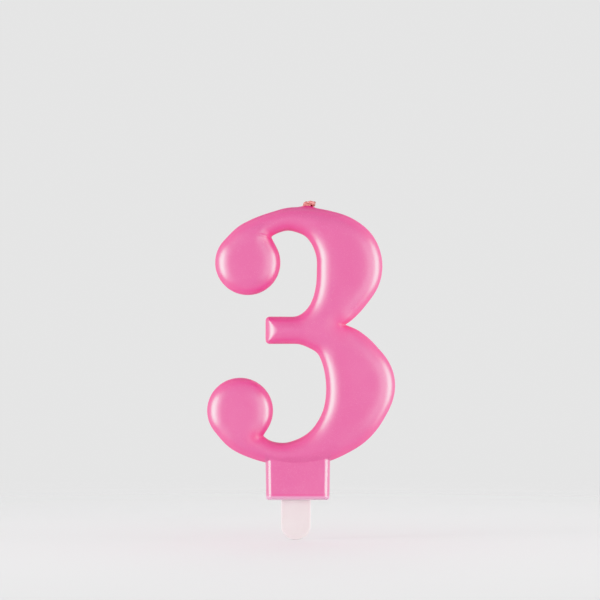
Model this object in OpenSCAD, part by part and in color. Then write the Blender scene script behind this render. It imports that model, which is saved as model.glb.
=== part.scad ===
// Number birthday candle: a moulded wax numeral 3 with ball ends, a plaited wick cast into it,
// and a plastic holder whose blade sits in a slot in the foot and whose tongue stands in the cake.
//
// X runs across the numeral, Y through its thickness and Z up. The origin is on the holder's
// centre line, level with the underside of the foot. All sizes are in millimetres.

/* [Numeral] */
// Height of the wax, foot included
wax_h = 76; // [72:1:80]
// Greatest half thickness of the wax
wax_half_t = 6; // [5:0.1:7]
// Distance from the edge over which the face rises
dome_reach = 8; // [8:1:10]
// Squareness of the domed face, where 2 is an ellipse
dome_power = 3.2; // [2.4:0.1:3.4]

/* [Foot] */
// Width of the foot
foot_w = 16.4; // [15:0.2:18]
// Thickness of the foot
foot_t = 9; // [8:0.2:9.6]
// Distance of the foot's middle from the holder's centre line
foot_x = 0.5; // [0:0.1:1]
// Width of the bevel round the foot's faces
foot_bevel = 1.2; // [0.8:0.1:1.6]
// Thickness of the flat part of the underside
foot_flat_t = 6; // [5:0.2:7]

/* [Holder] */
// Width of the tongue and blade
holder_w = 7.7; // [7:0.1:9]
// Thickness of the tongue and blade
holder_t = 1.8; // [1.6:0.1:2]
// Length of the tongue below the foot
tongue_l = 10.4; // [9:0.2:14]
// Length of the blade inside the foot
blade_l = 8.8; // [7:0.2:9]
// Bevel along the holder's edges
holder_bevel = 0.3; // [0.1:0.05:0.5]
// Number of grip ribs on each face of the blade
rib_count = 3; // [2:1:4]

/* [Wick] */
// Radius of one yarn
yarn_r = 0.26; // [0.2:0.02:0.26]
// Length of one plait of the yarns
plait_pitch = 6; // [6:0.5:7]

/* [Hidden] */

wax_colour = [0.91, 0.44, 0.67];
yarn_colour = [0.85, 0.45, 0.62];
holder_colour = [0.93, 0.9, 0.9];

// Everything in the numeral's outline is drawn at this height and scaled from it
drawn_h = 76;
size_k = wax_h / drawn_h;

// The numeral's strokes. Each knot is [x, z, radius] of the largest circle that fits the outline there.
waist = [6.3, 44.5, 5.8];
upper_bow = [
    waist, [7.9, 48, 4.9], [10.6, 51.4, 6.1], [12.6, 55.3, 7.3],
    [13.9, 59.6, 8.4], [13.5, 63.6, 8.1], [11.3, 67.1, 6.8], [7.9, 70, 5.1],
    [4, 72, 3.8], [-1.2, 72.9, 3], [-5.2, 72.1, 2.8], [-8.7, 70.5, 3.2],
    [-10.7, 68.4, 4.3], [-11.8, 66, 5.8], [-12.5, 61.6, 8.4]
];
lower_bow = [
    waist, [8.3, 42.7, 5.1], [10.2, 40.9, 5.2], [13, 38.1, 6.6], [15.2, 34.5, 7.8],
    [16.8, 30, 8.9], [15.8, 25, 8.1], [13.6, 20.5, 7], [10.1, 16.7, 5.6],
    [6.3, 14, 4.5], [2, 12.4, 3.6], [-3, 11.8, 2.9], [-8, 12.7, 2.9],
    [-12, 15, 3.8], [-14, 18.3, 5.7], [-14.5, 23.1, 8.5]
];

// The middle bar: its ridge ends where the mitres from its two corners meet
bar_end_x = -7.8;
bar_z = 44;
bar_half_h = 3.5;
bar_corner_r = 1;
bar_corner_z = bar_half_h - bar_corner_r;
bar_ridge_end = [bar_end_x + bar_half_h, bar_z, bar_half_h];
bar = [bar_ridge_end, [0.2, bar_z, bar_half_h], [2.4, 44.1, 3.8], [4.2, 44.3, 4.7], waist];

// Steps that the curves and faces are drawn with
bow_steps = 3;
bar_steps = 2;
mitre_steps = 3;
dome_step = 15;
dome_sides = 32;

// The foot goes up into the lowest stroke by this height, and the slot is cut into it from below
foot_top_z = 12 * size_k;
slot_gap = 0.15;
slot_w = holder_w + 2 * slot_gap;
slot_t = holder_t + 2 * slot_gap;
slot_l = blade_l + 2 * slot_gap;

// Grip ribs on the blade, and the height over which the blade narrows to its top edge
rib_h = 0.1;
rib_w = 0.6;
rib_spacing = 2.2;
rib_low_z = 1;
blade_lead_in = 1.2;

// How far a cutting shape reaches past the face it opens
cut_over = 1;

// Wick route from the tip of the bent-over end, down through the numeral to just above the slot
wick_route = [
    [5, 76.7], [4.2, 76.9], [3.3, 76.9], [2.5, 76.6], [2.3, 75.7], [2.7, 74],
    [4.6, 72], [7.8, 70], [11.2, 67], [13.4, 63.4], [13.8, 59.5], [12.2, 55.2],
    [9.8, 51.6], [8.1, 48.2], [8, 44.4], [9.8, 41], [12.7, 37.8], [15.2, 34.2],
    [16.4, 29.8], [15.7, 25], [13.4, 20.6], [10, 16.8], [6.3, 14.1], [2.6, 12.4], [0.6, 11.6]
];
wick_steps = 7;
yarn_sides = 6;
plait_swing = 0.55;
plait_depth = 0.36;
channel_r = plait_swing + yarn_r + 0.1;
channel_steps = 3;
channel_sides = 8;

// A smooth curve through a list of knots of any length of vector
function knot(list, i) = list[max(0, min(len(list) - 1, i))];
function curve_point(a, b, c, d, t) =
    0.5 * (2 * b + (c - a) * t + (2 * a - 5 * b + 4 * c - d) * t * t + (3 * b - a - 3 * c + d) * t * t * t);
function curve(list, steps) = [
    for (i = [0:len(list) - 2])
        for (j = [0:steps - 1])
            curve_point(knot(list, i - 1), list[i], list[i + 1], knot(list, i + 2), j / steps),
    list[len(list) - 1]
];
// Points along the straight line between two knots
function line(a, b, steps) = [for (i = [0:steps]) a + (b - a) * i / steps];

// The wax face rises from the parting line by this height at angle a of its rounded edge
function edge_in(a) = dome_reach * (1 - pow(cos(a), 2 / dome_power));
function edge_up(a) = wax_half_t * pow(sin(a), 2 / dome_power);
function rise(d) = wax_half_t * pow(1 - pow(1 - min(d / dome_reach, 1), dome_power), 1 / dome_power);

// A two-sided dome of radius r standing on the outline at one knot
module dome(spot) {
    r = spot[2];
    face = [for (a = [0:dome_step:90]) if (edge_in(a) < r - 0.1) [r - edge_in(a), edge_up(a)]];
    back = [for (i = [len(face) - 1:-1:1]) [face[i][0], -face[i][1]]];
    translate([spot[0], 0, spot[1]])
        rotate([90, 0, 0])
            rotate_extrude($fn = dome_sides)
                polygon(concat(face, [[0, rise(r)], [0, -rise(r)]], back));
}

// Domes joined one to the next along a list of knots
module stroke(knots) {
    for (i = [0:len(knots) - 2])
        hull() {
            dome(size_k * knots[i]);
            dome(size_k * knots[i + 1]);
        }
}

module numeral() {
    stroke(curve(upper_bow, bow_steps));
    stroke(curve(lower_bow, bow_steps));
    stroke(curve(bar, bar_steps));
    for (side = [-1, 1])
        stroke(line([bar_end_x + bar_corner_r, bar_z + side * bar_corner_z, bar_corner_r], bar_ridge_end,
            mitre_steps));
}

// A block standing on z_low, centred on the foot's middle
module foot_block(w, t, z_low) {
    translate([foot_x - w / 2, -t / 2, z_low])
        cube([w, t, foot_top_z - z_low]);
}

module foot() {
    hull() {
        foot_block(foot_w, foot_flat_t, 0);
        foot_block(foot_w - 2 * foot_bevel, foot_t, foot_bevel);
    }
}

module holder_slot() {
    translate([-slot_w / 2, -slot_t / 2, -cut_over])
        cube([slot_w, slot_t, slot_l + cut_over]);
}

// Distance run along a list of points, up to each one
function runs(points, i = 0, so_far = 0) =
    i == len(points) - 1
        ? [so_far]
        : concat([so_far], runs(points, i + 1, so_far + norm(points[i + 1] - points[i])));

function unit(v) = v / norm(v);
function along(points, i) = unit(points[min(i + 1, len(points) - 1)] - points[max(i - 1, 0)]);

// A round tube swept along points in space
module tube(points, r, sides) {
    last = len(points) - 1;
    rings = [
        for (i = [0:last])
            let (ahead = along(points, i), side = unit(cross([0, 1, 0], ahead)), up = cross(ahead, side))
                for (k = [0:sides - 1])
                    points[i] + r * (cos(360 * k / sides) * side + sin(360 * k / sides) * up)
    ];
    walls = [
        for (i = [0:last - 1])
            for (k = [0:sides - 1])
                let (next = (k + 1) % sides)
                    [i * sides + k, (i + 1) * sides + k, (i + 1) * sides + next, i * sides + next]
    ];
    first_cap = [for (k = [0:sides - 1]) k];
    last_cap = [for (k = [sides - 1:-1:0]) last * sides + k];
    polyhedron(rings, concat(walls, [first_cap, last_cap]));
}

module wick_channel() {
    middle = [for (p = curve(wick_route, channel_steps)) size_k * [p[0], 0, p[1]]];
    tube(middle, channel_r, channel_sides);
}

// The yarns swing from side to side and over and under each other, a third of a plait apart
module wick_yarn(number) {
    middle = [for (p = curve(wick_route, wick_steps)) size_k * [p[0], 0, p[1]]];
    run = runs(middle);
    path = [
        for (i = [0:len(middle) - 1])
            let (turn = 360 * (run[i] / plait_pitch + number / 3))
                let (across = cross(along(middle, i), [0, 1, 0]))
                    middle[i] + [0, plait_swing * sin(turn), 0] + plait_depth * sin(2 * turn) * across
    ];
    color(yarn_colour)
        tube(path, yarn_r, yarn_sides);
}

module wax_body() {
    color(wax_colour)
        difference() {
            union() {
                numeral();
                foot();
            }
            holder_slot();
            wick_channel();
        }
}

module wick_yarn_1() {
    wick_yarn(1);
}

module wick_yarn_2() {
    wick_yarn(2);
}

module wick_yarn_3() {
    wick_yarn(3);
}

// Half of the bevelled cross-section of the tongue, from its centre line out
function half_section() = [
    [0, -holder_t / 2],
    [holder_w / 2 - holder_bevel, -holder_t / 2],
    [holder_w / 2, holder_bevel - holder_t / 2],
    [holder_w / 2, holder_t / 2 - holder_bevel],
    [holder_w / 2 - holder_bevel, holder_t / 2],
    [0, holder_t / 2]
];

// Upright part of the holder: the blade narrows to a blunt edge at its top
module blade() {
    low_z = holder_w / 2 - tongue_l;
    intersection() {
        translate([0, 0, low_z])
            linear_extrude(blade_l - low_z) {
                polygon(half_section());
                mirror([1, 0])
                    polygon(half_section());
            }
        rotate([90, 0, 90])
            linear_extrude(2 * holder_w, center = true)
                polygon([
                    [-holder_t, low_z - cut_over], [holder_t, low_z - cut_over],
                    [holder_t, blade_l - 2 * blade_lead_in], [holder_t / 4, blade_l],
                    [-holder_t / 4, blade_l], [-holder_t, blade_l - 2 * blade_lead_in]
                ]);
    }
}

module round_end() {
    translate([0, 0, holder_w / 2 - tongue_l])
        rotate([90, 0, 0])
            rotate([0, 0, 180])
                rotate_extrude(angle = 180, $fn = 64)
                    polygon(half_section());
}

module grip_ribs() {
    rib_l = blade_l - 2 * blade_lead_in - rib_low_z;
    for (i = [0:rib_count - 1])
        translate([(i - (rib_count - 1) / 2) * rib_spacing - rib_w / 2, -holder_t / 2 - rib_h, rib_low_z])
            cube([rib_w, holder_t + 2 * rib_h, rib_l]);
}

module holder() {
    color(holder_colour)
        union() {
            blade();
            round_end();
            grip_ribs();
        }
}

wax_body();
wick_yarn_1();
wick_yarn_2();
wick_yarn_3();
holder();
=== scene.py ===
"""Number birthday candle: a moulded wax numeral three with a plaited wick, on a plastic holder."""
import itertools
import math

import bpy
import numpy as np
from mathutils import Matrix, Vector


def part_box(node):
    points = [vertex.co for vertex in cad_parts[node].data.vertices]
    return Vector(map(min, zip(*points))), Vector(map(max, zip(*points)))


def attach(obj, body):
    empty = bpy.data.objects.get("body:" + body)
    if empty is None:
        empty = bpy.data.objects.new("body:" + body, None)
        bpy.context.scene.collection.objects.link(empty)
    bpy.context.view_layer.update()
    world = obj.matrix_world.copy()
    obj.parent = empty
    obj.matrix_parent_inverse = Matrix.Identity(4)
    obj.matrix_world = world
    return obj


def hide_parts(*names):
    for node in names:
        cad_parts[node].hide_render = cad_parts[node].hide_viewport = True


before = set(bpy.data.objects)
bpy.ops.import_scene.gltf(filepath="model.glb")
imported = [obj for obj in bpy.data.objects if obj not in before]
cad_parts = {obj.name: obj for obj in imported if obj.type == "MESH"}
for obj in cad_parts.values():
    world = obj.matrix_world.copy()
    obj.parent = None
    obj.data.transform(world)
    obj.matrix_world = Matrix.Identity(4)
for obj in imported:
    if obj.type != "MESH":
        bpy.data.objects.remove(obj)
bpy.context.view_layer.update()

# ---------------------------------------------------------------- drawing, in millimetres
# The numeral's strokes. Each knot is [x, z, radius] of the largest circle that fits there.
WAIST = [6.3, 44.5, 5.8]
UPPER_BOW = [
    WAIST, [7.9, 48, 4.9], [10.6, 51.4, 6.1], [12.6, 55.3, 7.3],
    [13.9, 59.6, 8.4], [13.5, 63.6, 8.1], [11.3, 67.1, 6.8], [7.9, 70, 5.1],
    [4, 72, 3.8], [-1.2, 72.9, 3], [-5.2, 72.1, 2.8], [-8.7, 70.5, 3.2],
    [-10.7, 68.4, 4.3], [-11.8, 66, 5.8], [-12.5, 61.6, 8.4],
]
LOWER_BOW = [
    WAIST, [8.3, 42.7, 5.1], [10.2, 40.9, 5.2], [13, 38.1, 6.6], [15.2, 34.5, 7.8],
    [16.8, 30, 8.9], [15.8, 25, 8.1], [13.6, 20.5, 7], [10.1, 16.7, 5.6],
    [6.3, 14, 4.5], [2, 12.4, 3.6], [-3, 11.8, 2.9], [-8, 12.7, 2.9],
    [-12, 15, 3.8], [-14, 18.3, 5.7], [-14.5, 23.1, 8.5],
]
BAR_END_X, BAR_Z, BAR_HALF_H, BAR_CORNER_R = -7.8, 44, 3.5, 1
RIDGE_END = [BAR_END_X + BAR_HALF_H, BAR_Z, BAR_HALF_H]
BAR = [RIDGE_END, [0.2, BAR_Z, BAR_HALF_H], [2.4, 44.1, 3.8], [4.2, 44.3, 4.7], WAIST]
WICK_ROUTE = [
    [5, 76.7], [4.2, 76.9], [3.3, 76.9], [2.5, 76.6], [2.3, 75.7], [2.7, 74],
    [4.6, 72], [7.8, 70], [11.2, 67], [13.4, 63.4], [13.8, 59.5], [12.2, 55.2],
    [9.8, 51.6], [8.1, 48.2], [8, 44.4], [9.8, 41], [12.7, 37.8], [15.2, 34.2],
    [16.4, 29.8], [15.7, 25], [13.4, 20.6], [10, 16.8], [6.3, 14.1], [2.6, 12.4], [0.6, 11.6],
]
# Where the arms run into the balls: [x, z, depth of the groove]
UPPER_CREASE = [[-6.9, 68.2, 0.2], [-8.4, 68.65, 0.22], [-9.8, 68.85, 0.16], [-11.4, 68.8, 0]]
LOWER_CREASE = [[-8.8, 16.3, 0.25], [-10.4, 15.6, 0.18], [-12.6, 15.6, 0]]

# Inner corners of the outline, where the wax is duller and painted a deeper shade: [x, z, reach,
# strength]
NOTCH = [12.4, 45.4, 1.8]
DULL_SHADED_CORNERS = [NOTCH + [0.5], [11.1, 45.55, 0.55, 0.35], [-6.9, 68.2, 1.1, 0.5], [-10.5, 16.5, 1.2, 0.75]]
# Where the bar runs into the bows, rounded off: [x, z, reach]
BAR_FILLETS = [[6.2, 37.9, 1.9], [4.4, 48.7, 1.4], [1.0, 47.5, 1.1], [1.7, 40.5, 1.0]]
FACE_REACH, FACE_HALF_T, FACE_POWER = 8.0, 6.0, 3.2
EDGE_ROUND = 0.2                                    # round of the edges where wax parts meet
SEAM_H, SEAM_W = 0.05, 0.11                         # parting line of the mould
FOOT_X, FOOT_HALF_W, FOOT_HALF_T, FOOT_TOP, FOOT_CORNER_R = 0.5, 8.25, 4.5, 12.5, 0.45
FOOT_BOTTOM = 1.4                                   # how much tighter the edge turns at the bottom
FOOT_BEVELS = [[1.25, 0], [0.55, 0.6], [0, 1.95]]   # [in from the outline, back from the face]
RIM_Z, RIM_DEPTH, RIM_W = 1.42, 0.09, 0.13          # a fine line near the foot's bottom
SLOT_HALF_W, SLOT_HALF_T, SLOT_TOP = 4.0, 1.05, 9.1
CHANNEL_R, CHANNEL_MOUTH_Z = 0.92, 73.9
COLLAR, COLLAR_HALF = [2.9, 0, 75.45], [1.9, 1.5, 0.95]   # wax drawn up round the wick

PLAIT_PITCH, PLAIT_SWING, PLAIT_DEPTH, YARN_R = 6.0, 0.55, 0.36, 0.27

HOLDER_ROUND, RIB_R, RIB_PROUD, GATE_R = 0.35, 0.42, 0.1, 0.42
RIB_MIDDLES, RIB_LOW_Z, RIB_HIGH_Z = (-2.2, 0, 2.2), 1.3, 6.1
LEAD_IN_H, LEAD_IN_T = 1.4, 0.4                     # how the blade narrows to its top edge

FINE = 0.1        # spacing of the flat map of the numeral
COARSE = 2        # the solid is sampled at every second point of it


# ---------------------------------------------------------------- curves
def curve(knots, steps):
    """A smooth Catmull-Rom curve through the knots."""
    k = np.array(knots, float)
    k = np.vstack([k[:1], k, k[-1:]])
    t = (np.arange(steps) / steps)[:, None]
    parts = []
    for a, b, c, d in zip(k[:-3], k[1:-2], k[2:-1], k[3:]):
        cubic = (3 * b - a - 3 * c + d) * t ** 3
        square = (2 * a - 5 * b + 4 * c - d) * t ** 2
        parts.append(0.5 * (2 * b + (c - a) * t + square + cubic))
    return np.vstack(parts + [k[-1:]])


def line(a, b, steps):
    """Points along the straight line from a to b, both included."""
    t = np.linspace(0, 1, steps)[:, None]
    return np.array(a, float) * (1 - t) + np.array(b, float) * t


def numeral_discs():
    """Every circle whose union is the numeral's outline."""
    corner_z = BAR_HALF_H - BAR_CORNER_R
    mitres = [
        line([BAR_END_X + BAR_CORNER_R, BAR_Z + side * corner_z, BAR_CORNER_R], RIDGE_END, 40)
        for side in (-1, 1)
    ]
    return np.vstack([curve(UPPER_BOW, 60), curve(LOWER_BOW, 60), curve(BAR, 40)] + mitres)


# ---------------------------------------------------------------- flat map of the numeral
def smoothstep(x, low, high):
    """0 below low and 1 above high, with a smooth rise between."""
    t = np.clip((x - low) / (high - low), 0, 1)
    return t * t * (3 - 2 * t)


def gaussian(field, sigma):
    """The field blurred by sigma grid steps both ways."""
    half = int(3 * sigma)
    weights = np.exp(-0.5 * (np.arange(-half, half + 1) / sigma) ** 2)
    weights /= weights.sum()
    for axis in (0, 1):
        pad = [(half, half) if a == axis else (0, 0) for a in (0, 1)]
        padded = np.pad(field, pad, mode="edge")
        size = field.shape[axis]
        field = sum(
            w * np.take(padded, range(i, i + size), axis=axis) for i, w in enumerate(weights)
        )
    return field


def depth_map(discs, xs, zs):
    """How far each point is inside the outline, in millimetres; negative outside."""
    depth = np.full((len(xs), len(zs)), -2.5)
    reach = 2.5
    for x, z, r in discs:
        i = slice(*np.searchsorted(xs, [x - r - reach, x + r + reach]))
        j = slice(*np.searchsorted(zs, [z - r - reach, z + r + reach]))
        patch = r - np.hypot(xs[i, None] - x, zs[None, j] - z)
        depth[i, j] = np.maximum(depth[i, j], patch)
    return depth


def near(xs, zs, x, z, reach):
    """1 at a point of the plane, falling to 0 round it."""
    return np.exp(-((xs[:, None] - x) ** 2 + (zs[None, :] - z) ** 2) / (2 * reach ** 2))


def soften(depth, xs, zs):
    """Rounds the bar's fillets, then the ridges and valleys of the face but not its edge."""
    fillets = sum(near(xs, zs, *fillet) for fillet in BAR_FILLETS)
    depth = depth + (gaussian(depth, 10) - depth) * np.clip(1.25 * fillets, 0, 1)
    depth = depth + 1.6 * smoothstep(depth, 0.1, 1.8) * near(xs, zs, *NOTCH)
    blend = smoothstep(depth, 0.4, 1.8)
    return depth * (1 - blend) + gaussian(depth, 5) * blend


def crease(xs, zs, points, width):
    """A shallow groove along a line of [x, z, depth] points."""
    groove = np.zeros((len(xs), len(zs)))
    for a, b in zip(points[:-1], points[1:]):
        a, b = np.array(a), np.array(b)
        ab = b - a
        along = (xs[:, None] - a[0]) * ab[0] + (zs[None, :] - a[1]) * ab[1]
        t = np.clip(along / (ab[:2] @ ab[:2]), 0, 1)
        away = np.hypot(xs[:, None] - a[0] - t * ab[0], zs[None, :] - a[1] - t * ab[1])
        groove = np.maximum(groove, (a[2] + t * ab[2]) * np.exp(-(away / width) ** 2))
    return groove


class FlatMap:
    """Values on the numeral's plane, read at any point between them."""

    def __init__(self):
        self.xs = np.arange(-24.6, 27.6, FINE)
        self.zs = np.arange(-1.6, 78.4, FINE)
        depth = soften(depth_map(numeral_discs(), self.xs, self.zs), self.xs, self.zs)
        sink = crease(self.xs, self.zs, UPPER_CREASE, 0.26)
        sink = sink + crease(self.xs, self.zs, LOWER_CREASE, 0.8)
        waves = 0.5 * np.sin(self.xs[:, None] * 0.53 + 1.1) * np.sin(self.zs[None, :] * 0.41)
        waves = waves + 0.5 * np.sin(self.xs[:, None] * 0.23 - self.zs[None, :] * 0.67)
        self.depth = depth
        self.sink = sink + 0.015 * waves
        self.foot = foot_depth(self.xs[:, None], self.zs[None, :])
        self.wick = line_distance(curve(WICK_ROUTE, 4), self.xs[:, None], self.zs[None, :])

    def read(self, grid, x, z):
        """The grid's value at each x and z, between its four nearest points."""
        u = np.clip((x - self.xs[0]) / FINE, 0, len(self.xs) - 1.001)
        v = np.clip((z - self.zs[0]) / FINE, 0, len(self.zs) - 1.001)
        i, j = u.astype(int), v.astype(int)
        u, v = u - i, v - j
        low = grid[i, j] * (1 - v) + grid[i, j + 1] * v
        high = grid[i + 1, j] * (1 - v) + grid[i + 1, j + 1] * v
        return low * (1 - u) + high * u


def foot_depth(x, z):
    """How far a point is inside the foot's outline, which narrows a little downwards."""
    half_w = FOOT_HALF_W + 0.015 * (z - 5)
    inside = soft_cut(half_w - np.abs(x - FOOT_X), -FOOT_BOTTOM * z, 2 * FOOT_CORNER_R)
    return np.minimum(inside, FOOT_TOP - z)


# ---------------------------------------------------------------- solids as distance fields
def rounded_slab(depth, reach, out, half, power):
    """About how far a point is inside a slab whose faces round off towards its outline."""
    e = np.clip(1 - depth / reach, 0, None)
    t = np.clip(out, 0, None) / half
    value = 1 - e ** power - t ** power
    slope = power * np.hypot(e ** (power - 1) / reach, t ** (power - 1) / half)
    return value / np.maximum(slope, 0.05)


def soft_union(a, b, radius):
    """Solids a and b together, with a fillet where they meet."""
    blend = np.clip(radius - np.abs(a - b), 0, None) / radius
    return np.maximum(a, b) + blend ** 2 * radius / 4


def soft_cut(a, b, radius):
    """Solid a without solid b."""
    return -soft_union(-a, b, radius)


def bevelled_slab(depth, behind, corners, radius):
    """How far a point is inside a slab whose edge turns over in flat bevels."""
    value = soft_cut(depth, -behind, radius)
    for (in_a, back_a), (in_b, back_b) in zip(corners[:-1], corners[1:]):
        wide, deep = in_a - in_b, back_b - back_a
        bevel = ((depth - in_a) * deep + (behind - back_a) * wide) / math.hypot(wide, deep)
        value = soft_cut(value, -bevel, radius)
    return value


def box_depth(x, y, z, centre, half):
    """How far a point is inside a box."""
    across = np.maximum(np.abs(x - centre[0]) - half[0], np.abs(y - centre[1]) - half[1])
    return -np.maximum(across, np.abs(z - centre[2]) - half[2])


def line_distance(route, x, z):
    """Distance in the numeral's plane from the part of the wick's line inside the wax, up to 2."""
    route = route[route[:, 1] < CHANNEL_MOUTH_Z]
    least = np.full(np.broadcast(x, z).shape, 2.0)
    for a, b in zip(route[:-1], route[1:]):
        ab = b - a
        t = np.clip(((x - a[0]) * ab[0] + (z - a[1]) * ab[1]) / (ab @ ab), 0, 1)
        least = np.minimum(least, np.hypot(x - a[0] - t * ab[0], z - a[1] - t * ab[1]))
    return least


class Wax:
    """The wax body: numeral, foot, collar round the wick, slot and wick channel."""

    def __init__(self):
        self.map = FlatMap()

    def combine(self, depth, sink, foot, channel, x, y, z):
        """The field from what the flat map says at each point."""
        seam = SEAM_H * np.exp(-(y / SEAM_W) ** 2)
        side = np.abs(y)
        numeral = rounded_slab(depth + seam, FACE_REACH, side + sink, FACE_HALF_T, FACE_POWER)
        rim = RIM_DEPTH * np.exp(-((z - RIM_Z) / RIM_W) ** 2)
        block = bevelled_slab(foot + seam, FOOT_HALF_T - side - rim, FOOT_BEVELS, 0.18)
        solid = soft_union(numeral, block, EDGE_ROUND)
        from_collar = [(c - m) / h for c, m, h in zip((x, y, z), COLLAR, COLLAR_HALF)]
        collar = 1 - np.sqrt(sum(c ** 2 for c in from_collar))
        solid = soft_union(solid, collar, 0.7)
        slot = box_depth(x, y, z, (0, 0, SLOT_TOP / 2 - 1),
                         (SLOT_HALF_W, SLOT_HALF_T, SLOT_TOP / 2 + 1))
        solid = soft_cut(solid, slot, EDGE_ROUND)
        return soft_cut(solid, CHANNEL_R - np.hypot(channel, y), EDGE_ROUND)

    def grid(self):
        """The field on a block of points, and the points' coordinates."""
        m = self.map
        xs, zs = m.xs[::COARSE], m.zs[::COARSE]
        half = np.concatenate([np.arange(0.04, 0.4, 0.08), np.arange(0.5, 6.7, 0.2)])
        ys = np.concatenate([-half[::-1], half])
        flat = [g[::COARSE, ::COARSE][:, None, :] for g in (m.depth, m.sink, m.foot, m.wick)]
        x, y, z = xs[:, None, None], ys[None, :, None], zs[None, None, :]
        field = self.combine(*flat, x, y, z)
        return field.astype(np.float32), (xs, ys, zs)

    def at(self, p):
        """The field at points."""
        m = self.map
        x, y, z = p.T
        flat = [m.read(g, x, z) for g in (m.depth, m.sink, m.foot, m.wick)]
        return self.combine(*flat, x, y, z)


# ---------------------------------------------------------------- meshes from fields
def surface_net(field, axes):
    """Vertices and quads of the surface where the field changes sign."""
    inside = field > 0
    n = [s - 1 for s in field.shape]
    offsets = list(itertools.product((0, 1), repeat=3))
    count = sum(
        inside[i:n[0] + i, j:n[1] + j, k:n[2] + k].astype(np.int8) for i, j, k in offsets
    )
    active = (count > 0) & (count < 8)
    cells = np.argwhere(active)
    index = np.full(active.shape, -1, np.int64)
    index[active] = np.arange(len(cells))
    total, hits = np.zeros((len(cells), 3)), np.zeros(len(cells))
    for low, axis in itertools.product(offsets, range(3)):
        if low[axis]:
            continue
        high = list(low)
        high[axis] = 1
        a_at, b_at = cells + low, cells + high
        a, b = field[tuple(a_at.T)], field[tuple(b_at.T)]
        crossed = (a > 0) != (b > 0)
        t = (a[crossed] / (a[crossed] - b[crossed]))[:, None]
        pa = np.stack([axes[c][a_at[crossed, c]] for c in range(3)], 1)
        pb = np.stack([axes[c][b_at[crossed, c]] for c in range(3)], 1)
        total[crossed] += pa + t * (pb - pa)
        hits[crossed] += 1
    return total / hits[:, None], net_quads(inside, index)


def net_quads(inside, index):
    """One quad round each grid edge that crosses the surface, facing outwards."""
    quads = []
    for axis in range(3):
        u, v = (axis + 1) % 3, (axis + 2) % 3
        a = np.take(inside, range(inside.shape[axis] - 1), axis=axis)
        b = np.take(inside, range(1, inside.shape[axis]), axis=axis)
        at = np.argwhere(a != b)
        at = at[(at[:, u] > 0) & (at[:, v] > 0)]
        at = at[(at[:, u] < index.shape[u]) & (at[:, v] < index.shape[v])]
        corners = []
        for du, dv in ((1, 1), (0, 1), (0, 0), (1, 0)):
            c = at.copy()
            c[:, u] -= du
            c[:, v] -= dv
            corners.append(index[tuple(c.T)])
        quad = np.stack(corners, 1)
        leaving = a[tuple(at.T)]
        quads.append(np.where(leaving[:, None], quad, quad[:, ::-1]))
    return np.vstack(quads)


def onto_surface(field_at, p, steps):
    """Points moved along the field's slope until they lie on its surface."""
    h = 0.04
    for _ in range(steps):
        value = field_at(p)
        slope = np.zeros_like(p)
        for c in range(3):
            shift = np.zeros(3)
            shift[c] = h
            slope[:, c] = (field_at(p + shift) - field_at(p - shift)) / (2 * h)
        square = np.maximum((slope ** 2).sum(1), 0.05)
        move = -(value / square)[:, None] * slope
        length = np.linalg.norm(move, axis=1, keepdims=True)
        p = p + move * np.minimum(1, 0.15 / np.maximum(length, 1e-9))
    return p


def relax(p, quads, share):
    """Each point moved by a share of the way to the middle of its neighbours."""
    total, hits = np.zeros_like(p), np.zeros(len(p))
    for k in range(4):
        here, there = quads[:, k], quads[:, (k + 1) % 4]
        for a, b in ((here, there), (there, here)):
            for c in range(3):
                total[:, c] += np.bincount(a, p[b, c], len(p))
            hits += np.bincount(a, minlength=len(p))
    return p + share * (total / hits[:, None] - p)


def mesh_of(field, axes, field_at):
    """The field's surface with evenly spread points."""
    p, quads = surface_net(field, axes)
    for _ in range(2):
        p = onto_surface(field_at, relax(p, quads, 0.6), 2)
    return onto_surface(field_at, p, 3), quads


def new_object(name, points, faces, scale):
    """A smooth-shaded object from points in millimetres; scale brings them to metres."""
    mesh = bpy.data.meshes.new(name)
    faces = faces if isinstance(faces, list) else faces.tolist()
    mesh.from_pydata((np.asarray(points) * scale).tolist(), [], faces)
    mesh.validate()
    mesh.update()
    mesh.polygons.foreach_set("use_smooth", np.ones(len(mesh.polygons), bool))
    obj = bpy.data.objects.new(name, mesh)
    bpy.context.scene.collection.objects.link(obj)
    return obj


def add_values(obj, name, values):
    """One number at each point of the mesh, which the material reads by this name."""
    layer = obj.data.attributes.new(name, "FLOAT", "POINT")
    layer.data.foreach_set("value", np.asarray(values, np.float32))


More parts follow.
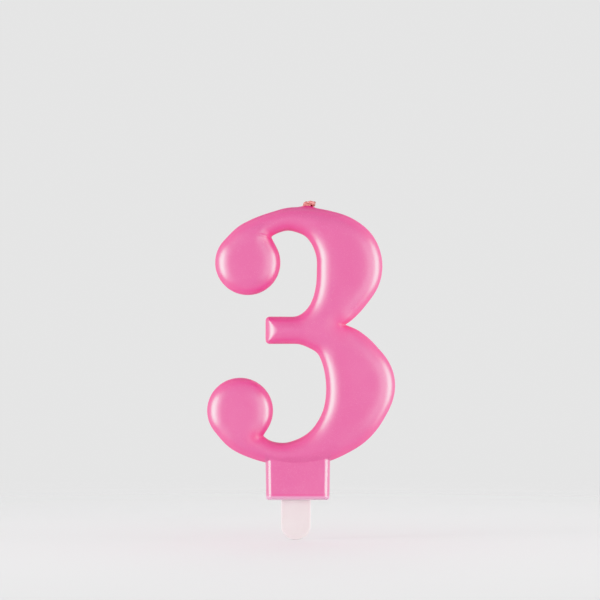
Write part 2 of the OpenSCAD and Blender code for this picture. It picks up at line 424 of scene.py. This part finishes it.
# ---------------------------------------------------------------- materials
class Shader:
    """A material with a Principled surface, built node by node."""

    def __init__(self, name, **values):
        self.material = bpy.data.materials.new(name)
        self.material.use_nodes = True
        self.tree = self.material.node_tree
        self.surface = self.tree.nodes["Principled BSDF"]
        for key, value in values.items():
            self.surface.inputs[key.replace("_", " ")].default_value = value

    def add(self, kind, out=0, settings=None, **inputs):
        """A new node's output. Inputs go by name, or by number as i0, i1 and so on."""
        made = self.tree.nodes.new("ShaderNode" + kind)
        for key, value in (settings or {}).items():
            setattr(made, key, value)
        for key, value in inputs.items():
            slot = made.inputs[int(key[1:])] if key[0] == "i" and key[1:].isdigit() else None
            slot = slot or made.inputs[key.replace("_", " ")]
            if isinstance(value, bpy.types.NodeSocket):
                self.tree.links.new(value, slot)
            else:
                slot.default_value = value
        return made.outputs[out]

    def feed(self, name, socket):
        self.tree.links.new(socket, self.surface.inputs[name])

    def place(self, kind="Object"):
        return self.add("TexCoord", kind)

    def noise(self, scale, detail=2.0, place=None, **more):
        place = place or self.place()
        return self.add("TexNoise", "Fac", Vector=place, Scale=scale, Detail=detail, **more)

    def ranged(self, value, low, high, to_low, to_high):
        return self.add("MapRange", i0=value, i1=low, i2=high, i3=to_low, i4=to_high)

    def mix(self, share, a, b):
        made = self.tree.nodes.new("ShaderNodeMix")
        made.data_type = "RGBA"
        for slot, value in ((0, share), (6, a), (7, b)):
            if isinstance(value, bpy.types.NodeSocket):
                self.tree.links.new(value, made.inputs[slot])
            else:
                made.inputs[slot].default_value = value
        return made.outputs[2]

    def math(self, operation, a, b):
        return self.add("Math", settings={"operation": operation}, i0=a, i1=b)

    def bump(self, height, distance, strength=1.0, normal=None):
        more = {"Normal": normal} if normal else {}
        return self.add("Bump", Height=height, Distance=distance, Strength=strength, **more)


def wax_material():
    s = Shader(
        "pearl_wax",
        IOR=1.5, Coat_Roughness=0.3, Coat_IOR=1.6,
        Subsurface_Weight=0.15, Subsurface_Scale=0.001, Subsurface_Radius=(1.2, 0.4, 0.7),
    )
    cloud = s.ranged(s.noise(130.0, 3.0), 0.35, 0.65, 0.0, 1.0)
    pink = s.mix(cloud, (0.510, 0.076, 0.232, 1), (0.536, 0.090, 0.251, 1))
    deep = s.add("Attribute", "Fac", {"attribute_name": "deep"})
    slope = s.add("Attribute", "Fac", {"attribute_name": "slope"})
    # Painted shading on the rounded edges, from the "slope" values.
    pink = s.mix(s.math("MULTIPLY", slope, 0.5), pink, (0.69, 0.056, 0.255, 1))
    # Painted shade: a deeper, darker pink at the edges, creases, inner corners and the fine line on the
    # foot.
    pink = s.mix(deep, pink, (0.74, 0.020, 0.22, 1))
    # Painted reflection: a pale lilac on the foot's bottom band.
    pale = s.add("Attribute", "Fac", {"attribute_name": "pale"})
    pink = s.mix(s.math("MULTIPLY", pale, 0.95), pink, (0.58, 0.27, 0.42, 1))
    mica = s.ranged(s.noise(5200.0, 1.0), 0.60, 0.74, 0.0, 0.35)
    s.feed("Base Color", s.mix(mica, pink, (0.78, 0.28, 0.48, 1)))
    dull = s.ranged(deep, 0.0, 0.6, 0.0, 0.35)
    s.feed("Roughness", s.math("ADD", dull, s.ranged(s.noise(1500.0, 2.0), 0.3, 0.7, 0.30, 0.40)))
    s.feed("Coat Weight", s.ranged(deep, 0.0, 0.5, 1.0, 0.1))
    skin = s.bump(s.noise(650.0, 3.0), 0.00002, 0.5)
    s.feed("Normal", s.bump(s.noise(5200.0, 1.0), 0.000007, 0.6, skin))
    return s.material


def holder_material():
    s = Shader(
        "holder_plastic",
        IOR=1.49, Subsurface_Weight=0.35, Subsurface_Scale=0.0012,
        Subsurface_Radius=(1.0, 0.85, 0.9),
    )
    tone = s.ranged(s.noise(260.0, 3.0), 0.3, 0.7, 0.0, 1.0)
    s.feed("Base Color", s.mix(tone, (0.54, 0.475, 0.483, 1), (0.59, 0.53, 0.534, 1)))
    s.feed("Roughness", s.ranged(s.noise(2100.0, 2.0), 0.3, 0.7, 0.48, 0.60))
    s.feed("Normal", s.bump(s.noise(3200.0, 2.0), 0.000008, 0.4))
    return s.material


def wick_material():
    s = Shader("wick_cotton", IOR=1.46, Subsurface_Weight=0.2, Subsurface_Scale=0.0005,
               Subsurface_Radius=(1.0, 0.4, 0.6))
    tip = s.add("Attribute", "Fac", {"attribute_name": "tip"})
    ply_shade = s.add("Attribute", "Fac", {"attribute_name": "ply_shade"})
    soak = s.ranged(s.noise(900.0, 3.0), 0.35, 0.65, 0.0, 1.0)
    pink = s.mix(soak, (0.60, 0.215, 0.195, 1), (0.67, 0.27, 0.26, 1))
    # Painted shade: the yarn is darker in the hollows between its plies.
    pink = s.mix(ply_shade, pink, (0.44, 0.12, 0.12, 1))
    s.feed("Base Color", s.mix(tip, pink, (0.24, 0.09, 0.06, 1)))
    s.feed("Roughness", s.ranged(s.noise(4000.0, 2.0), 0.3, 0.7, 0.35, 0.7))
    stretch = s.add("Mapping", Vector=s.place("UV"), Scale=(22.0, 1.2, 1.0),
                    Rotation=(0.0, 0.0, 0.1))
    fibre = s.noise(1.6, 3.0, stretch)
    s.feed("Normal", s.bump(fibre, 0.00003, 0.8))
    return s.material


# ---------------------------------------------------------------- pieces
def make_wax(scale):
    wax = Wax()
    field, axes = wax.grid()
    points, quads = mesh_of(field, axes, wax.at)
    obj = new_object("wax_numeral", points, quads, scale)
    side = np.abs(points[:, 1])
    x, z = points[:, 0], points[:, 2]
    depth = wax.map.read(wax.map.depth, x, z)
    foot = smoothstep(wax.map.read(wax.map.foot, x, z), -0.4, 0.1)
    # Painted shade: the pink is deepened at the outline's edges (wall), along the fine line near the
    # foot's bottom (step), in the creases (groove) and in the inner corners, where the wax would lie in
    # shade.
    wall = (1 - smoothstep(depth, 0.15, 0.95)) * (1 - foot)
    # Painted shading: a band in from the outline is tinted a more saturated pink, standing in for how the
    # light falls on the rounded edges.
    slope = (1 - smoothstep(depth, 0.8, 2.6)) * (1 - foot)
    groove = smoothstep(wax.map.read(wax.map.sink, x, z), 0.05, 0.3)
    step = np.exp(-((z - RIM_Z) / 0.15) ** 2) * smoothstep(side, 3.2, 4.0)
    corners = sum(
        strength * np.exp(-((x - a) ** 2 + (z - b) ** 2) / (2 * reach ** 2))
        for a, b, reach, strength in DULL_SHADED_CORNERS
    )
    # The painted shade goes to the material as "deep", which also dulls the gloss there.
    add_values(obj, "deep", np.clip(0.45 * wall + 0.3 * step + 0.1 * groove + corners, 0, 1))
    add_values(obj, "slope", slope)
    # Painted reflection: the foot's bottom band is lightened to a pale lilac, as if it reflected the pale
    # floor below.
    add_values(obj, "pale", foot * (1 - smoothstep(z, 0.9, 1.25)))
    obj.data.materials.append(wax_material())
    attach(obj, "candle")
    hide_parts("wax_body")
    return obj


def unit(v):
    return v / np.linalg.norm(v, axis=-1, keepdims=True)


def plait_path(number):
    """The centre line of one yarn and the distance run along the wick at each of its points."""
    route = curve(WICK_ROUTE, 60)
    middle = np.stack([route[:, 0], 0 * route[:, 0], route[:, 1]], 1)
    run = np.concatenate([[0], np.cumsum(np.linalg.norm(np.diff(middle, axis=0), axis=1))])
    spots = np.concatenate([np.arange(0, 7, 0.06), np.arange(7, run[-1], 0.3)])
    middle = np.stack([np.interp(spots, run, middle[:, c]) for c in range(3)], 1)
    ahead = unit(np.gradient(middle, axis=0))
    across = np.cross(ahead, [0, 1, 0])
    turn = 2 * np.pi * (spots / PLAIT_PITCH + number / 3)
    swing = PLAIT_SWING * np.sin(turn)[:, None] * np.array([0, 1, 0])
    return middle + swing + PLAIT_DEPTH * np.sin(2 * turn)[:, None] * across, spots


def make_yarn(number, material, scale):
    """One yarn of three twisted plies, swept along its way through the plait."""
    path, spots = plait_path(number)
    sides = 30
    ahead = unit(np.gradient(path, axis=0))
    side = unit(np.cross([0, 1, 0], ahead))
    up = np.cross(ahead, side)
    phi = np.linspace(0, 2 * np.pi, sides, endpoint=False)
    ply = np.abs(np.cos(1.5 * (phi[None, :] + spots[:, None] * 2.2 + number)))
    end = np.sqrt(np.clip(1 - (1 - np.clip(spots / 0.22, 0, 1)) ** 2, 0.02, 1))
    lumps = 1 + 0.05 * np.sin(spots * 3.1 + number * 2) + 0.04 * np.sin(spots * 7.7 + number)
    swell = 1 + 0.45 * (1 - smoothstep(spots, 2.4, 3.6))
    radius = YARN_R * (0.80 + 0.24 * ply ** 0.6) * (end * lumps * swell)[:, None]
    ring = np.cos(phi)[None, :, None] * side[:, None] + np.sin(phi)[None, :, None] * up[:, None]
    points = (path[:, None] + radius[..., None] * ring).reshape(-1, 3)
    rows = len(path)
    k = np.arange(sides)
    first = (np.arange(rows - 1) * sides)[:, None]
    a, b = first + k, first + (k + 1) % sides
    quads = np.stack([a, b, b + sides, a + sides], -1).reshape(-1, 4)
    start, stop = rows * sides, rows * sides + 1
    caps = [[start, (i + 1) % sides, i] for i in range(sides)]
    caps += [[stop, start - sides + i, start - sides + (i + 1) % sides] for i in range(sides)]
    points = np.vstack([points, path[:1], path[-1:]])
    obj = new_object("yarn_" + str(number), points, quads.tolist() + caps, scale)
    add_values(obj, "tip", np.append(np.repeat(1 - smoothstep(spots, 0.05, 0.55), sides), [1, 0]))
    # Painted shade in the hollows between the plies.
    add_values(obj, "ply_shade", np.append((1 - ply).ravel() ** 2, [1, 1]))
    wrap_uv(obj, rows, sides, spots)
    obj.data.materials.append(material)
    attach(obj, "candle")
    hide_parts("wick_yarn_" + str(number))
    return obj


def wrap_uv(obj, rows, sides, spots):
    """UVs round and along a swept tube."""
    mesh = obj.data
    layer = mesh.uv_layers.new(name="wrap")
    verts = np.zeros(len(mesh.loops), np.int64)
    mesh.loops.foreach_get("vertex_index", verts)
    row = np.minimum(verts // sides, rows - 1)
    around = (verts % sides) / sides
    uv = np.stack([np.abs(around * 2 - 1), spots[row]], 1)
    layer.data.foreach_set("uv", uv.astype(np.float32).ravel())


class Holder:
    """The plastic holder: a flat blade with a round-ended tongue, moulded grip ribs and rounded edges."""

    def __init__(self):
        low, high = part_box("holder")
        self.half_w = high.x * 1000
        self.tip, self.top = low.z * 1000, high.z * 1000
        self.half_t = high.y * 1000 - RIB_PROUD

    def at(self, p):
        x, y, z = p.T
        return self.field(x, y, z)

    def field(self, x, y, z):
        """About how far a point is inside the holder."""
        r = HOLDER_ROUND
        round_z = self.tip + self.half_w
        low = np.hypot(x, np.minimum(z - round_z, 0)) - self.half_w
        outline = np.maximum(low, z - self.top)
        lead = np.clip((z - (self.top - LEAD_IN_H)) / LEAD_IN_H, 0, 1) * LEAD_IN_T
        qx, qy = outline + r, np.abs(y) - (self.half_t - lead) + r
        edge = np.hypot(np.clip(qx, 0, None), np.clip(qy, 0, None))
        plate = r - edge - np.minimum(np.maximum(qx, qy), 0)
        ribs = np.full(np.broadcast(x, y, z).shape, -5.0)
        for middle in RIB_MIDDLES:
            along = np.hypot(x - middle, np.abs(np.clip(z, RIB_LOW_Z, RIB_HIGH_Z) - z))
            rib = RIB_R - np.hypot(along, np.clip(np.abs(y) - (self.half_t - 0.3), 0, None))
            ribs = np.maximum(ribs, rib)
        solid = soft_union(plate, ribs, 0.15)
        gate = GATE_R - np.hypot(np.hypot(x, z - round_z - 0.5), (y - self.half_t) * 3.0)
        return soft_cut(solid, gate, 0.1)

    def grid(self):
        xs = np.arange(-self.half_w - 0.5, self.half_w + 0.5, 0.13)
        ys = np.arange(-self.half_t - 0.6, self.half_t + 0.6, 0.1)
        zs = np.arange(self.tip - 0.5, self.top + 0.5, 0.13)
        field = self.field(xs[:, None, None], ys[None, :, None], zs[None, None, :])
        return field.astype(np.float32), (xs, ys, zs)


def make_holder():
    holder = Holder()
    field, axes = holder.grid()
    points, quads = mesh_of(field, axes, holder.at)
    obj = new_object("holder_plate", points, quads, 0.001)
    obj.data.materials.append(holder_material())
    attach(obj, "holder")
    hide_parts("holder")
    return obj


# ---------------------------------------------------------------- stage, light and camera
def make_floor(height):
    """A pale round floor that fades out into the backdrop."""
    bpy.ops.mesh.primitive_circle_add(
        vertices=96, radius=0.6, fill_type="TRIFAN", location=(0, 0, height),
    )
    floor = bpy.context.object
    floor.name = "floor"
    s = Shader("floor_paper", Roughness=0.8)
    tone = s.ranged(s.noise(6.0, 2.0), 0.3, 0.7, 0.0, 1.0)
    s.feed("Base Color", s.mix(tone, (0.73, 0.73, 0.735, 1), (0.75, 0.75, 0.755, 1)))
    far = s.add("VectorMath", "Value", {"operation": "LENGTH"}, i0=s.place())
    clear = s.add("MapRange", settings={"interpolation_type": "SMOOTHSTEP"},
                  i0=far, i1=0.06, i2=0.3, i3=1.0, i4=0.0)
    s.feed("Alpha", clear)
    floor.data.materials.append(s.material)
    floor.visible_shadow = False
    floor.visible_glossy = False


def make_world():
    """A white room, brightest at the level of the candle and dimmer above and below."""
    world = bpy.data.worlds.new("studio")
    world.use_nodes = True
    tree = world.node_tree
    back = tree.nodes["Background"]
    place = tree.nodes.new("ShaderNodeTexCoord")
    split = tree.nodes.new("ShaderNodeSeparateXYZ")
    height = tree.nodes.new("ShaderNodeMath")
    height.operation = "ABSOLUTE"
    glow = tree.nodes.new("ShaderNodeMapRange")
    glow.interpolation_type = "SMOOTHSTEP"
    for slot, value in zip(range(1, 5), (0.15, 0.75, 0.84, 0.68)):
        glow.inputs[slot].default_value = value
    tree.links.new(place.outputs["Generated"], split.inputs[0])
    tree.links.new(split.outputs["Z"], height.inputs[0])
    tree.links.new(height.outputs[0], glow.inputs[0])
    tree.links.new(glow.outputs[0], back.inputs["Strength"])
    back.inputs["Color"].default_value = (1.0, 1.0, 1.0, 1)
    bpy.context.scene.world = world


def make_light(name, azimuth, distance, size, power, middle):
    """A soft level light aimed at the candle. Azimuth 0 is where the camera stands."""
    a = math.radians(azimuth)
    away = np.array([math.sin(a), -math.cos(a), 0])
    data = bpy.data.lights.new(name, "AREA")
    data.shape = "RECTANGLE"
    data.size, data.size_y = size
    data.energy = power
    obj = bpy.data.objects.new(name, data)
    bpy.context.scene.collection.objects.link(obj)
    obj.location = middle + away * distance
    direction = obj.location - obj.location.__class__(middle)
    obj.rotation_euler = direction.to_track_quat("Z", "Y").to_euler()
    obj.visible_camera = False
    return obj


def make_camera(look_x, look_z, width):
    """A long lens, level and square to the numeral's face."""
    data = bpy.data.cameras.new("camera")
    data.lens, data.sensor_width = 200, 36
    camera = bpy.data.objects.new("camera", data)
    bpy.context.scene.collection.objects.link(camera)
    distance = width / 2 / (data.sensor_width / 2 / data.lens)
    camera.location = (look_x, -distance, look_z)
    camera.rotation_euler = (math.radians(90), 0, 0)
    data.clip_start, data.clip_end = 0.01, 20
    bpy.context.scene.camera = camera


# ---------------------------------------------------------------- the whole scene
LOOK_X, LOOK_Z, VIEW_W, MIDDLE_Z = 1.07, 51.87, 156, 38   # view and lights, in the drawing's millimetres
SIDE_LIGHTS = (-72, 82)                                   # azimuths of the tall lights at both sides
low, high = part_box("wax_body")
top = max(z + r for _, z, r in numeral_discs())
MM = (high.z - low.z) / top                               # metres for one millimetre of the drawing
make_camera(LOOK_X * MM, LOOK_Z * MM, VIEW_W * MM)
middle = np.array([0.0, 0.0, MIDDLE_Z * MM])
make_world()
make_floor(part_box("holder")[0].z)
for azimuth in SIDE_LIGHTS:
    make_light("strip", azimuth, 0.55, (0.29, 0.48), 3.6, middle)
    glint = make_light("glint", azimuth, 0.55, (0.20, 0.46), 9.5, middle)
    glint.visible_diffuse = False
make_light("panel_left", -47, 0.60, (0.26, 0.50), 1.0, middle)
make_light("panel_right", 42, 0.60, (0.42, 0.50), 1.6, middle)
back_fill = make_light("back_fill", 180, 0.60, (0.50, 0.50), 2.2, middle)
back_fill.visible_glossy = False
make_wax(MM)
cotton = wick_material()
for number in (1, 2, 3):
    make_yarn(number, cotton, MM)
make_holder()
bpy.context.scene.view_settings.view_transform = "Khronos PBR Neutral"
